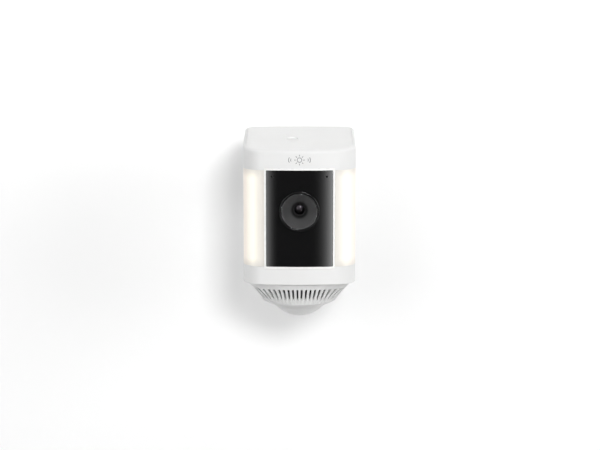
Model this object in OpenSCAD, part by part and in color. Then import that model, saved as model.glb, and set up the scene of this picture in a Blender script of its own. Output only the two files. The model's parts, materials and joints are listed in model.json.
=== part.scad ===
// Wall-mounted floodlight security camera: a battery-powered head with two light bars, a camera
// behind a black face panel, a siren grille and a motion-sensing dome, on a ball mount.
// The head is drawn in its own frame (x across, y from the face to the back, z up from the dome's
// lowest point) and then placed on the mount's ball. The wall is the plane y = 0, and the ball's
// centre is at z = 0.

/* [Body] */
// Width of the body across the two light bars
body_w = 75; // [74.5:0.25:76]
// Depth of the body from the face to the back
body_d = 69; // [69:0.25:70]
// Height from the dome's lowest point to the rear edge of the top
body_h = 126; // [125.5:0.5:127]
// Fall of the top from its rear edge to its front edge
top_fall = 8.1; // [7:0.1:9]
// Height of the body's lower edge
skirt_z = 27.4; // [27.2:0.1:27.6]
// Wall thickness of the housing shells
wall = 2.2; // [2:0.1:2.4]
// Radius of the bowed face
face_bow_r = 170; // [150:5:200]
// Radius of the two front corners, seen from above
front_corner_r = 14; // [13.5:0.25:14.5]
// Radius of the bowed back
back_bow_r = 400; // [380:10:500]
// Radius of the two rear corners, seen from above
rear_corner_r = 8; // [7.5:0.25:8.5]

/* [Face] */
// Width of the black face panel
panel_w = 44.4; // [43.5:0.1:45]
// Lower edge of the face panel
panel_z0 = 39.9; // [39:0.1:41]
// Upper edge of the face panel
panel_z1 = 104.6; // [104:0.1:105.5]
// Width of the white bezel round the face panel
bezel_w = 1.3; // [1.1:0.1:1.5]
// How far the bezel stands proud of the face
bezel_proud = 0.3; // [0.1:0.1:0.5]
// How far the light bars reach back along the sides
light_reach = 22; // [20:0.5:23]
// Height of the lens axis
lens_z = 77.4; // [76:0.2:79]
// Radius of the raised ring round the lens
lens_ring_r = 13.3; // [13:0.1:13.8]
// How far the lens ring stands proud of the face
lens_proud = 2; // [1.5:0.1:2.2]

/* [Underside] */
// Radius of the motion sensor's dome
dome_r = 22.3; // [22:0.1:22.6]
// Radius of the grille's lower rim
rim_r = 25.2; // [24.9:0.1:25.5]
// Height of the grille's lower rim
rim_z = 11.8; // [11.6:0.1:12.2]
// Number of slots all round the grille
slot_count = 64; // [56:4:72]
// Width of a grille slot
slot_w = 1.3; // [1:0.1:1.4]

/* [Battery] */
// Width of the battery pack
pack_w = 56; // [52:0.5:56]
// Thickness of the battery pack
pack_t = 20.3; // [19.5:0.1:20.3]
// Height of the battery pack
pack_h = 38.6; // [36:0.2:38.6]

/* [Mount] */
// Height of the mounting stud on the head, above the dome's lowest point
mount_h = 90; // [89.5:0.5:91]
// Radius of the ball
ball_r = 12; // [11.8:0.1:12]
// Distance from the wall to the ball's centre
ball_reach = 26; // [26:0.5:27]
// Distance from the ball's centre to the face of the head's mounting boss
stem_reach = 22; // [22:0.5:23]
// Radius of the wall plate
plate_r = 27; // [26.5:0.25:27.5]
// Radius of the circle that the wall screws lie on
wall_screw_circle_r = 21.5; // [21.25:0.25:21.75]
// Radius of a wall screw's hole
wall_screw_hole_r = 2.3; // [2:0.1:2.5]

/* [Hidden] */

$fn = 64;
fit = 0.1;                               // gap between neighbouring pieces
over = 1;                                // how far a cutter runs past what it cuts
far = 200;                               // longer than anything in the part

white = [0.93, 0.93, 0.92];
opal = [0.99, 0.98, 0.93];
black = [0.06, 0.06, 0.07];
grey = [0.28, 0.28, 0.29];
steel = [0.72, 0.73, 0.75];
brass = [0.80, 0.65, 0.35];
gold = [0.85, 0.68, 0.30];
copper = [0.72, 0.45, 0.28];
green = [0.10, 0.32, 0.20];
rubber = [0.16, 0.16, 0.17];
glass = [0.75, 0.82, 0.85];
aluminium = [0.80, 0.81, 0.82];
pack_grey = [0.35, 0.36, 0.38];

// Where the head stands: its face, and the height of its lowest point below the ball
boss_t = 4;
boss_r = 11;
face_y = -(ball_reach + stem_reach + boss_t + body_d);
mid_y = body_d / 2;

// The plan outline is built from six arcs that meet tangentially
front_cx = body_w / 2 - front_corner_r;
front_lean = asin(front_cx / (face_bow_r - front_corner_r));
front_cy = face_bow_r - (face_bow_r - front_corner_r) * cos(front_lean);
rear_cx = body_w / 2 - rear_corner_r;
rear_lean = asin(rear_cx / (back_bow_r - rear_corner_r));
rear_cy = body_d - back_bow_r + (back_bow_r - rear_corner_r) * cos(rear_lean);

// The top and its lid
top_front_z = body_h - top_fall;
top_slope = atan(top_fall / body_d);
lid_t = 1.6;
lid_seal_t = 0.6;
lid_border = 2;                          // width of the housing's rim round the lid
ledge_t = 1.4;
ledge_w = 1.6;
split_y = 31;                            // where the front and rear housings meet

// The face
panel_t = 1.8;
panel_half = panel_w / 2;
bezel_half = panel_half + bezel_w;
bezel_depth = 4.8;
diffuser_t = 2;
mic_x = 18.2;
mic_z = 100.5;
mic_hole_r = 0.6;
front_board_y = 6.5;
front_board_t = 1.2;

// The lights: each bar has its own tray, set at 45 degrees inside a front corner
light_z0 = panel_z0 + 1;
light_z1 = panel_z1 - 1;
led_count = 6;
led_board_t = 1.2;

// The camera, measured inwards from the face along the lens axis
window_r = lens_ring_r - 1.5;
pupil_r = 3.9;
hood_depth = 6.2;
barrel_r = 6;
barrel_wall = 1.1;
barrel_end = 19;
sensor_depth = 22.3;

// The underside
slot_z0 = 15.4;
slot_z1 = 23;
grille_t = 2;
grille_inset = 2.4;
dome_hole_r = 17.6;
lip_r = 16.8;
lip_z = 8;
grille_floor = 11.2;
base_z = 31.1;
base_t = 1.6;
speaker_y = 20;
speaker_r = 14.5;
speaker_opening_r = 12.5;

// The battery, its bay and its door
pack_y0 = 42.3;
bay_wall = 1.2;
bay_play = 0.2;
bay_back = 63.2;
pack_z0 = base_z + base_t + bay_wall + bay_play;
door_half = 29.3;
door_z1 = 74.4;
door_face_y = 65.4;
seal_t = 0.5;
pin_y = 66.2;
pin_z = 34;
pin_r = 1;
knuckle_r = 2.8;
latch_z0 = 63.5;
latch_h = 5;
latch_travel = 2.4;

// The set-up button, left of the middle of the lid
button_x = -4.5;
button_y = 31.7;
button_r = 3.5;
button_base_z = top_front_z + 0.5;

// The power port, high on the back
port_x = 14;
port_z = 104.5;
port_w = 12.6;
port_z0 = 98;
port_z1 = 110;
port_play = 0.2;
port_bore_r = 3.9;
port_roll_r = 0.75;
port_roll_y = 67.9;

// The ball mount, measured out from the wall
seat_r = ball_r + 1.2;
socket_r = ball_r + 1.3;
collar_r = 15.5;
ring_r = 18.5;
stud_r = 3.1;
insert_r = 4.6;

function arc(cx, cy, r, from, to, steps, first) =
    [for (s = [first:steps]) let (a = from + (to - from) * s / steps)
        [cx + r * cos(a), cy + r * sin(a)]];

// The body's outline seen from above, moved inwards by inset
function outline(inset) = concat(
    arc(0, face_bow_r, face_bow_r - inset, 270 - front_lean, 270 + front_lean, 10, 1),
    arc(front_cx, front_cy, front_corner_r - inset, 270 + front_lean, 360, 9, 1),
    arc(rear_cx, rear_cy, rear_corner_r - inset, 0, 90 - rear_lean, 6, 0),
    arc(0, body_d - back_bow_r, back_bow_r - inset, 90 - rear_lean, 90 + rear_lean, 6, 1),
    arc(-rear_cx, rear_cy, rear_corner_r - inset, 90 + rear_lean, 180, 6, 1),
    arc(-front_cx, front_cy, front_corner_r - inset, 180, 270 - front_lean, 9, 0));

// ---------- Placing and shaping helpers ----------

module head() translate([0, face_y, -mount_h]) children();

// Local z runs out from the wall, and local z = 0 is the wall
module from_wall() rotate([90, 0, 0]) children();

// Local z runs out of the face along the lens axis
module from_face(x = 0, z = lens_z) translate([x, 0, z]) rotate([90, 0, 0]) children();

// A box given by its lowest and highest corners
module block(low, high) translate(low) cube(high - low);

module prism(inset, z0, z1) translate([0, 0, z0]) linear_extrude(z1 - z0) polygon(outline(inset));

// Local z = 0 is the sloping top, lowered by drop
module on_top(drop) translate([0, 0, top_front_z - drop]) rotate([top_slope, 0, 0]) children();

module above_top(drop) on_top(drop) block([-body_w, -20, 0], [body_w, body_d + 20, 40]);

// A slice of the body parallel to the sloping top, its thickness measured upright
module top_slice(inset, drop, thickness)
    difference() {
        prism(inset, top_front_z - 20, body_h + 5);
        above_top(drop);
        difference() {
            prism(inset - over, top_front_z - 21, body_h + 6);
            above_top(drop + thickness);
        }
    }

module both_sides() {
    children();
    mirror([1, 0, 0]) children();
}

module ring(outer, inner, height)
    difference() {
        cylinder(r = outer, h = height);
        translate([0, 0, -over]) cylinder(r = inner, h = height + 2 * over);
    }

// The hollow outer shell of the whole body, before it is split into front and rear
module body_shell()
    difference() {
        prism(0, skirt_z, body_h + over);
        above_top(0);
        difference() {
            prism(wall, skirt_z - over, body_h);
            above_top(lid_t + lid_seal_t + ledge_t);
        }
        prism(wall + ledge_w, skirt_z - over, body_h + over);
        intersection() {
            prism(lid_border, skirt_z, body_h + 2 * over);
            above_top(lid_t + lid_seal_t);
        }
    }

screw_x = 30;
screw_heights = [81, 108];
screw_post_r = 3.2;
screw_head_r = 2.8;
screw_sink = 4;                          // how deep the screw heads sit below the back
module at_screws() both_sides() for (z = screw_heights) translate([screw_x, 0, z]) children();

// ---------- Mount ----------

module wall_plate() color(white) from_wall()
    difference() {
        rotate_extrude() polygon([
            [0, 0], [plate_r, 0], [plate_r, 2.5], [plate_r - 1.5, 4],
            [collar_r + 1.7, 4], [collar_r + 1, 4.7], [collar_r + 1, ball_reach - 7.5],
            [collar_r, ball_reach - 7.5], [collar_r, ball_reach], [0, ball_reach]]);
        translate([0, 0, ball_reach]) sphere(r = socket_r);
        for (a = [45:90:315]) rotate(a) translate([wall_screw_circle_r, 0, -over]) {
            cylinder(r = wall_screw_hole_r, h = 10);
            translate([0, 0, over + 2.6]) cylinder(r = 4, h = 10);
        }
    }

module ball_seat() color(grey) from_wall() translate([0, 0, ball_reach])
    difference() {
        sphere(r = seat_r);
        sphere(r = ball_r + 0.05);
        translate([0, 0, 5.5]) cylinder(r = 20, h = 20);
        translate([0, 0, -31]) cylinder(r = 20, h = 20);
    }

mouth_r = 10.8;                          // opening that the stem swings in
ring_back = ball_reach - 7;
ring_front = ball_reach + 8.5;
knurls = 30;
module clamp_ring() color(white) from_wall()
    difference() {
        rotate_extrude() polygon([
            [0, ball_reach + fit], [collar_r + fit, ball_reach + fit], [collar_r + fit, ring_back],
            [ring_r, ring_back], [ring_r, ring_front - 2], [ring_r - 2, ring_front],
            [0, ring_front]]);
        translate([0, 0, ball_reach]) sphere(r = socket_r);
        translate([0, 0, ring_front - 1]) cylinder(r1 = mouth_r, r2 = mouth_r + 2.4, h = 2);
        for (k = [0:knurls - 1]) rotate((k + 0.5) * 360 / knurls)
            translate([ring_r + 0.5, 0, ring_back + 2]) cylinder(r = 1, h = far);
        translate([0, 0, ring_back + 4]) rotate([-90, 0, 180]) cylinder(r = 1.5, h = 30);
    }

module clamp_set_screw() color(steel) from_wall()
    translate([0, 0, ring_back + 4]) rotate([-90, 0, 180]) difference() {
        translate([0, 0, collar_r + 0.2]) cylinder(r = 1.45, h = 2.5);
        translate([0, 0, collar_r + 1.5]) cylinder(r = 0.75, h = 5, $fn = 6);
    }

module ball_stem() color(steel) from_wall() translate([0, 0, ball_reach]) {
    sphere(r = ball_r);
    cylinder(r = 4, h = stem_reach);
    translate([0, 0, stem_reach - 2]) cylinder(r = 9, h = 1.95, $fn = 6);
    cylinder(r = stud_r, h = stem_reach + 8.3);
}

// ---------- Housings ----------

module face_opening()
    block([-bezel_half - fit, -5, panel_z0 - bezel_w - fit], [bezel_half + fit, 6, panel_z1 + bezel_w + fit]);

module light_openings(gap) both_sides()
    block([bezel_half - gap, -5, panel_z0 - gap], [body_w, light_reach + gap, panel_z1 + gap]);

module front_housing() color(white) head()
    difference() {
        union() {
            body_shell();
            at_screws() translate([0, split_y, 0]) rotate([90, 0, 0]) cylinder(r = screw_post_r, h = 7);
            at_screws() block([2, split_y - 7, -1.5], [7, split_y, 1.5]);
        }
        block([-body_w, split_y, 0], [body_w, far, far]);
        face_opening();
        light_openings(fit);
        at_screws() rotate([-90, 0, 0]) translate([0, 0, split_y - 6]) cylinder(r = 1.3, h = 10);
    }

seal_groove = [0.7, 1.5, 0.8];           // inner and outer inset of the groove, and its depth
module seal_strips(slack)
    both_sides() block(
        [body_w / 2 - seal_groove[1] - slack, split_y, skirt_z + 2 - slack],
        [body_w / 2 - seal_groove[0] + slack, split_y + seal_groove[2] + slack, top_front_z - 3 + slack]);

module side_seals() color(rubber) head() seal_strips(0);

module rear_housing() color(white) head()
    difference() {
        union() {
            body_shell();
            // bosses for the mounting insert and for the housing screws
            translate([0, body_d - 7, mount_h]) rotate([-90, 0, 0]) cylinder(r = boss_r, h = 7 + boss_t);
            at_screws() translate([0, split_y, 0]) rotate([-90, 0, 0])
                cylinder(r = screw_post_r, h = body_d - split_y - 3);
            at_screws() block([2, split_y, -1.5], [7, body_d - 12, 1.5]);
            // lugs that carry the door's hinge pin
            intersection() {
                prism(0.4, pin_z - 5, pin_z + 5);
                both_sides()
                    block([door_half + 0.2, bay_back, base_z + fit], [door_half + 3.2, body_d, pin_z + 3]);
            }
        }
        block([-body_w, -far, 0], [body_w, split_y, far]);
        seal_strips(0.05);
        block([-door_half - 0.2, bay_back - over, pin_z - knuckle_r - 0.2],
              [door_half + 0.2, far, door_z1 + 0.2]);
        translate([-door_half - 2.2, pin_y, pin_z]) rotate([0, 90, 0])
            cylinder(r = pin_r + 0.06, h = 2 * door_half + 4.4);
        // keeper for the door latch
        block([-3.7, 66, door_z1], [3.7, 67.8, door_z1 + 2.6]);
        translate([0, body_d - 4.5, mount_h]) rotate([-90, 0, 0]) cylinder(r = insert_r, h = 20);
        at_screws() rotate([-90, 0, 0]) cylinder(r = 1.7, h = far);
        at_screws() translate([0, body_d - screw_sink, 0]) rotate([-90, 0, 0])
            cylinder(r = screw_head_r + 0.2, h = 20);
        // power port and the recess for its cover
        translate([port_x, 60, port_z]) rotate([-90, 0, 0]) cylinder(r = port_bore_r, h = 20);
        block([port_x - port_w / 2 - port_play, port_roll_y - port_roll_r - port_play,
               port_z0 - 3 * port_play],
              [port_x + port_w / 2 + port_play, far, port_z1 + port_play]);
    }

module top_lid() color(white) head()
    difference() {
        top_slice(lid_border + 0.12, 0, lid_t);
        translate([button_x, button_y, 100]) cylinder(r = button_r + 0.15, h = 50);
    }

module lid_gasket() color(rubber) head()
    difference() {
        top_slice(lid_border + 0.3, lid_t, lid_seal_t);
        prism(wall + ledge_w, 100, body_h + over);
    }

module mount_insert() color(brass) head()
    translate([0, body_d + boss_t, mount_h]) rotate([90, 0, 0]) ring(insert_r, stud_r + 0.05, 8.5);

module housing_screws() color(steel) head() at_screws() {
    translate([0, body_d - screw_sink, 0]) rotate([-90, 0, 0]) difference() {
        cylinder(r = screw_head_r, h = 1.8);
        translate([0, 0, 0.8]) cylinder(r = 1.4, h = 3, $fn = 6);
    }
    translate([0, body_d - screw_sink, 0]) rotate([90, 0, 0]) cylinder(r = 1.25, h = body_d - split_y + 1);
}

// The grille narrows from the body's outline to a round rim, and then to a lip round the dome
module grille_block(inset, rim, lip, floor_z, top_z)
    hull() {
        translate([0, 0, top_z - 0.01]) linear_extrude(0.01) polygon(outline(inset));
        translate([0, mid_y, rim_z + (rim_r - rim) * 0.5]) cylinder(r = rim, h = 0.01, $fn = 48);
        translate([0, mid_y, floor_z]) cylinder(r = lip, h = 0.01, $fn = 48);
    }

module bottom_grille() color(white) head()
    difference() {
        union() {
            grille_block(grille_inset, rim_r, lip_r, lip_z, skirt_z);
            prism(wall + fit, skirt_z, base_z);
        }
        grille_block(grille_inset + grille_t, rim_r - grille_t, dome_hole_r + 3, grille_floor,
                     skirt_z + over);
        prism(wall + grille_t, skirt_z - 0.5, base_z + over);
        translate([0, mid_y, 0]) cylinder(r = dome_hole_r, h = 20);
        for (k = [0:slot_count - 1]) translate([0, mid_y, 0]) rotate(k * 360 / slot_count)
            block([22, -slot_w / 2, slot_z0], [50, slot_w / 2, slot_z1]);
    }

module base_plate() color(grey) head()
    difference() {
        prism(wall + fit, base_z, base_z + base_t);
        translate([0, speaker_y, base_z - over]) cylinder(r = speaker_opening_r, h = 10);
        block([-door_half - 3.3, bay_back - 0.6, 0], [door_half + 3.3, far, far]);
    }

// ---------- Face ----------

module panel_bezel() color(white) head()
    difference() {
        intersection() {
            prism(-bezel_proud, panel_z0 - bezel_w, panel_z1 + bezel_w);
            block([-bezel_half, -5, 0], [bezel_half, bezel_depth, far]);
        }
        block([-panel_half - 0.05, -6, panel_z0 - 0.05], [panel_half + 0.05, 9, panel_z1 + 0.05]);
    }

module face_panel() color(black) head()
    difference() {
        intersection() {
            difference() {
                prism(0, panel_z0, panel_z1);
                prism(panel_t, 0, far);
            }
            block([-panel_half, -5, 0], [panel_half, 8, far]);
        }
        from_face() translate([0, 0, -10]) cylinder(r = lens_ring_r + fit, h = 20);
        both_sides() from_face(mic_x, mic_z) translate([0, 0, -10]) cylinder(r = mic_hole_r, h = 20);
    }

module lens_ring() color(black) head() from_face()
    rotate_extrude() polygon([
        [window_r + 0.1, -3], [lens_ring_r, -3], [lens_ring_r, 0.3], [lens_ring_r - 0.35, lens_proud - 0.5],
        [lens_ring_r - 0.85, lens_proud], [window_r + 0.5, lens_proud], [window_r + 0.1, lens_proud - 0.5]]);

module lens_window() color(glass, 0.3) head() from_face()
    translate([0, 0, 0.5]) cylinder(r = window_r, h = 0.9);

module lens_hood() color(grey) head() from_face()
    rotate_extrude() polygon([
        [window_r, 0.4], [window_r - 0.8, 0.4], [pupil_r, -hood_depth], [pupil_r, -hood_depth - 0.8],
        [pupil_r + 0.8, -hood_depth - 0.8], [window_r, -0.7]]);

module lens_barrel() color(black) head() from_face()
    rotate_extrude() polygon([
        [pupil_r - 0.4, -hood_depth - 0.9], [barrel_r, -hood_depth - 0.9], [barrel_r, -barrel_end],
        [barrel_r - barrel_wall, -barrel_end], [barrel_r - barrel_wall, -hood_depth - 1.8],
        [pupil_r - 0.4, -hood_depth - 1.8]]);

// A lens element: a disc with a domed front
module element(depth, thickness, dome)
    translate([0, 0, -depth - thickness]) intersection() {
        cylinder(r = barrel_r - barrel_wall - 0.05, h = thickness);
        translate([0, 0, thickness - dome]) sphere(r = dome);
    }

module lens_elements() color(glass, 0.5) head() from_face() {
    element(8.05, 2.4, 7);
    element(11.4, 1.8, 12);
    element(14.8, 2.2, 9);
}

module lens_holder() color(black) head() from_face()
    difference() {
        block([-7.5, -7.5, -sensor_depth], [7.5, 7.5, -13]);
        translate([0, 0, -barrel_end - 0.3]) cylinder(r = barrel_r + 0.05, h = 20);
        block([-5.5, -5.5, -sensor_depth - over], [5.5, 5.5, -barrel_end - 0.3]);
    }

module infrared_filter() color(glass, 0.6) head() from_face()
    block([-5.4, -5.4, -barrel_end - 0.8], [5.4, 5.4, -barrel_end - 0.4]);

module image_sensor() color(grey) head() from_face()
    block([-4.2, -4.2, -sensor_depth], [4.2, 4.2, -sensor_depth + 1.2]);

module sensor_board() color(green) head() from_face()
    block([-12, -12, -sensor_depth - 1.2], [12, 12, -sensor_depth]);

// The board behind the face panel, which carries the infrared emitters and the microphones
module front_board() color(green) head()
    difference() {
        block([-20, front_board_y, 52], [20, front_board_y + front_board_t, 103.5]);
        from_face() translate([0, 0, -20]) cylinder(r = lens_ring_r + 0.5, h = 20);
    }

module infrared_leds() color(glass, 0.7) head()
    both_sides() for (dz = [-15, 15]) from_face(15, lens_z + dz)
        translate([0, 0, -front_board_y]) {
            block([-1.75, -1.75, 0], [1.75, 1.75, 1.2]);
            translate([0, 0, 1.2]) cylinder(r = 1.2, h = 0.6);
        }

module microphones() color(steel) head()
    both_sides()
        block([mic_x - 1.7, front_board_y - 1, mic_z - 1.3], [mic_x + 1.7, front_board_y, mic_z + 1.3]);

module microphone_boots() color(rubber) head()
    both_sides() from_face(mic_x, mic_z) translate([0, 0, -front_board_y + 1]) ring(1.9, mic_hole_r, 2.4);

// ---------- Lights ----------

// Local +x runs out through the front corner on the right-hand side
module in_corner() translate([front_cx, front_cy, 0]) rotate(-45) children();

module diffuser() color(opal) head()
    intersection() {
        difference() {
            prism(0, panel_z0, panel_z1);
            prism(diffuser_t, 0, far);
        }
        block([bezel_half + fit, -5, 0], [body_w, light_reach, far]);
    }

module left_diffuser() mirror([1, 0, 0]) diffuser();
module right_diffuser() diffuser();

module light_reflectors() color(white) head() both_sides() in_corner()
    translate([0, 0, light_z0]) linear_extrude(light_z1 - light_z0) polygon([
        [2, -5.4], [2, 5.4], [8.4, 7.9], [8.9, 7.2], [3, 4.7], [3, -4.7], [8.9, -7.2], [8.4, -7.9]]);

module led_boards() color(white) head() both_sides() in_corner()
    block([3, -4.4, light_z0 + 0.5], [3 + led_board_t, 4.4, light_z1 - 0.5]);

module led_packages() color("gold") head() both_sides() in_corner()
    for (k = [0:led_count - 1])
        translate([3 + led_board_t, -1.5, light_z0 + (k + 0.5) * (light_z1 - light_z0) / led_count - 1.5])
            cube([0.8, 3, 3]);

module heat_spreaders() color(aluminium) head() both_sides() in_corner()
    block([0.4, -5.4, light_z0], [2, 5.4, light_z1]);

// ---------- Electronics ----------

main_y = 27;
main_t = 1.6;
switch_z = button_base_z - 7.9;
module main_board() color(green) head()
    difference() {
        block([-26.5, main_y, 48], [26.5, main_y + main_t, switch_z]);
        both_sides() for (z = [51, 107]) translate([24, 0, z]) rotate([-90, 0, 0]) cylinder(r = 1.1, h = 60);
    }

module main_chips() color(black) head() {
    block([-7, main_y + main_t, 84], [7, main_y + main_t + 1.4, 98]);
    block([-20, main_y + main_t, 86], [-10, main_y + main_t + 1, 97]);
    block([10, main_y + main_t, 80], [17, main_y + main_t + 1.2, 87]);
    block([-16, main_y + main_t, 60], [-8, main_y + main_t + 1.6, 68]);
    for (x = [2:5:17]) block([x, main_y + main_t, 58], [x + 3, main_y + main_t + 2, 62]);
}

module shield_cans() color(steel) head() for (z = [52, 92])
    difference() {
        block([-15, main_y - 2.6, z], [15, main_y, z + 16]);
        block([-14.7, main_y - 2.3, z + 0.3], [14.7, main_y + over, z + 15.7]);
    }

module flat_cables() color(copper) head() {
    block([-5, sensor_depth + 1.2, 69], [5, main_y, 69.3]);
    both_sides() block([16, front_board_y + front_board_t, 53], [16.3, main_y, 59]);
    block([-8, main_y + main_t, 49.7], [8, pack_y0 - 4, 50]);
    block([-8, pack_y0 - 4.3, 41], [8, pack_y0 - 4, 50]);
}

module wifi_antenna() color(copper) head()
    on_top(lid_t + 0.1) block([6, 42, -0.5], [30, 50, 0]);

// ---------- Underside ----------

module pir_dome() color(opal) head() translate([0, mid_y, 0]) {
    difference() {
        translate([0, 0, dome_r]) sphere(r = dome_r);
        translate([0, 0, dome_r]) sphere(r = dome_r - 0.9);
        translate([0, 0, 8.4]) cylinder(r = 40, h = 60);
    }
    translate([0, 0, 8.1]) ring(17.4, 16.4, grille_floor - 8.1);
    translate([0, 0, grille_floor]) ring(20.2, 16.4, 1.2);
}

module pir_retainer() color(grey) head() translate([0, mid_y, 0]) {
    translate([0, 0, grille_floor + 1.2]) ring(20.2, 17, 1.8);
    for (a = [30:120:270]) rotate(a) translate([18.4, 0, grille_floor + 2.9]) cylinder(r = 1.5, h = 6.9);
}

module pir_board() color(green) head() translate([0, mid_y, 21]) cylinder(r = 20, h = 1.2);

module pir_sensors() color(steel) head() translate([0, mid_y, 0])
    for (a = [30:120:270]) rotate(a) translate([8.5, 0, 16.8]) {
        cylinder(r = 4.1, h = 3.8);
        translate([0, 0, 3.8]) cylinder(r = 4.6, h = 0.4);
    }

module speaker_frame() color(black) head() translate([0, speaker_y, base_z + base_t])
    difference() {
        union() {
            cylinder(r = speaker_r, h = 2);
            translate([0, 0, 2]) cylinder(r1 = 13.4, r2 = 9, h = 5);
        }
        translate([0, 0, -over]) cylinder(r = speaker_opening_r, h = over + 1.5);
        translate([0, 0, 1.4]) cylinder(r1 = 12.3, r2 = 8, h = 5);
        translate([0, 0, 6]) cylinder(r = 8, h = 5);
    }

module speaker_cone() color(grey) head() translate([0, speaker_y, base_z + base_t])
    rotate_extrude() polygon([[0, 2.6], [4, 3.1], [12.4, 0.2], [12.4, 0.6], [4, 3.6], [0, 3.1]]);

module speaker_magnet() color(steel) head() translate([0, speaker_y, base_z + base_t + 7])
    cylinder(r = 8.8, h = 5.5);

// ---------- Battery, door and latch ----------

pack_half = pack_w / 2;
pack_y1 = pack_y0 + pack_t;
pack_z1 = pack_z0 + pack_h;

module at_contacts() for (x = [-6, -2, 2, 6]) translate([x, 0, pack_z0 + 8]) children();

bay_half = pack_half + bay_play;
module battery_bay() color(black) head()
    difference() {
        block([-bay_half - bay_wall, pack_y0 - 0.5 - bay_wall, pack_z0 - bay_play - bay_wall],
              [bay_half + bay_wall, door_face_y - seal_t, pack_z1 + bay_play + bay_wall]);
        block([-bay_half, pack_y0 - 0.5, pack_z0 - bay_play], [bay_half, far, pack_z1 + bay_play]);
        // room for the door's knuckle
        block([-far, bay_back - 0.1, 0], [far, far, pin_z + knuckle_r + 0.2]);
        at_contacts() rotate([-90, 0, 0]) cylinder(r = 1, h = 60);
    }

module bay_contacts() color(gold) head() at_contacts()
    translate([0, pack_y0 - 4, 0]) rotate([-90, 0, 0]) {
        cylinder(r = 0.9, h = 2.8);
        cylinder(r = 0.6, h = 3.8);
    }

tab_half = 6;
module tab_pocket(gap)
    block([-tab_half - gap, pack_y1 - 2.4 - gap, pack_z1 - 11 - gap], [tab_half + gap, far, pack_z1 + over]);

module battery_case() color(pack_grey) head()
    difference() {
        block([-pack_half, pack_y0, pack_z0], [pack_half, pack_y1, pack_z1]);
        block([-pack_half + 1, pack_y0 + 1, pack_z0 + 1], [pack_half - 1, pack_y1 - 3.4, pack_z1 - 1]);
        tab_pocket(fit);
        // terminal pads sit in shallow wells
        at_contacts() block([-1.5, pack_y0 - over, -2], [1.5, pack_y0 + 0.2, 2]);
    }

module battery_cells() color(aluminium) head() for (y = [pack_y0 + 1.1, pack_y0 + 8.9])
    block([-pack_half + 2, y, pack_z0 + 1.5], [pack_half - 2, y + 7.6, pack_z1 - 1.5]);

module battery_tab() color(black) head()
    difference() {
        block([-tab_half, pack_y1 - 2.4, pack_z1 - 9.4], [tab_half, pack_y1 - 0.2, pack_z1 - 0.1]);
        for (z = [2:1.6:7]) block([-4, pack_y1 - 0.6, pack_z1 - z - 0.5], [4, pack_y1, pack_z1 - z]);
    }

// Room in the door for the sliding latch, which is drawn in its released place, at its lowest
module latch_pocket(gap) {
    block([-6 - gap, 66, latch_z0 - gap], [6 + gap, far, latch_z0 + latch_h + latch_travel + gap]);
    block([-3.5 - gap, 66, latch_z0], [3.5 + gap, 67.6 + gap, far]);
}

module battery_door() color(white) head()
    difference() {
        intersection() {
            prism(0, 20, 90);
            union() {
                block([-door_half, door_face_y, pin_z + 0.5], [door_half, far, door_z1]);
                translate([-door_half, pin_y, pin_z]) rotate([0, 90, 0])
                    cylinder(r = knuckle_r, h = 2 * door_half);
            }
        }
        translate([-50, pin_y, pin_z]) rotate([0, 90, 0]) cylinder(r = pin_r + 0.06, h = 100);
        latch_pocket(fit);
    }

module door_seal() color(rubber) head()
    difference() {
        block([-pack_half - 1, door_face_y - seal_t, pin_z + 4], [pack_half + 1, door_face_y, door_z1 - 1]);
        block([-pack_half + 1, 0, pin_z + 6], [pack_half - 1, far, door_z1 - 3]);
    }

module door_pin() color(steel) head()
    translate([-door_half - 2.1, pin_y, pin_z]) rotate([0, 90, 0])
        cylinder(r = pin_r, h = 2 * door_half + 4.2);

module door_latch() color(white) head()
    difference() {
        union() {
            block([-6, 66.1, latch_z0], [6, 68.6, latch_z0 + latch_h]);
            block([-3.5, 66.1, latch_z0], [3.5, 67.6, door_z1 - 0.3]);
        }
        for (z = [0.9:1.3:4]) block([-4.5, 68.2, latch_z0 + z], [4.5, far, latch_z0 + z + 0.6]);
    }

// ---------- Button and port ----------

module setup_button() color(white) head() translate([button_x, button_y, 0])
    difference() {
        union() {
            translate([0, 0, button_base_z]) cylinder(r = button_r + 1, h = 0.8);
            translate([0, 0, button_base_z]) cylinder(r = button_r, h = 10);
            translate([0, 0, button_base_z - 2.9]) cylinder(r = 1.2, h = 3);
        }
        translate([-button_x, -button_y, 0]) above_top(0.15);
        translate([0, 0, top_front_z + top_fall * button_y / body_d + 16]) sphere(r = 16.6);
    }

module button_switch() color(grey) head() translate([button_x, button_y, switch_z]) {
    block([-6, -5, 0], [6, 5, 1.1]);
    block([-3, -3, 1.1], [3, 3, 3.8]);
    translate([0, 0, 3.8]) cylinder(r = 1.5, h = 0.6);
}

module power_jack() color(black) head() translate([port_x, body_d - 12, port_z])
    rotate([-90, 0, 0]) difference() {
        union() {
            block([-4.5, -4.5, 0], [4.5, 4.5, 8]);
            cylinder(r = port_bore_r - fit, h = 10.1);
        }
        translate([0, 0, 2]) cylinder(r = 2.6, h = 20);
    }

// A soft cover that swings down about the roll along its lower edge
module port_cover() color(white) head() {
    intersection() {
        prism(0, port_z0, port_z1);
        block([port_x - port_w / 2, port_roll_y - 0.5, port_z0 + port_roll_r],
              [port_x + port_w / 2, far, port_z1]);
    }
    translate([port_x - port_w / 2, port_roll_y, port_z0 + port_roll_r]) rotate([0, 90, 0])
        cylinder(r = port_roll_r, h = port_w);
    translate([port_x, body_d - 3.4, port_z]) rotate([-90, 0, 0]) cylinder(r = 1.8, h = 2.5);
}

// ---------- Nodes ----------

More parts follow.
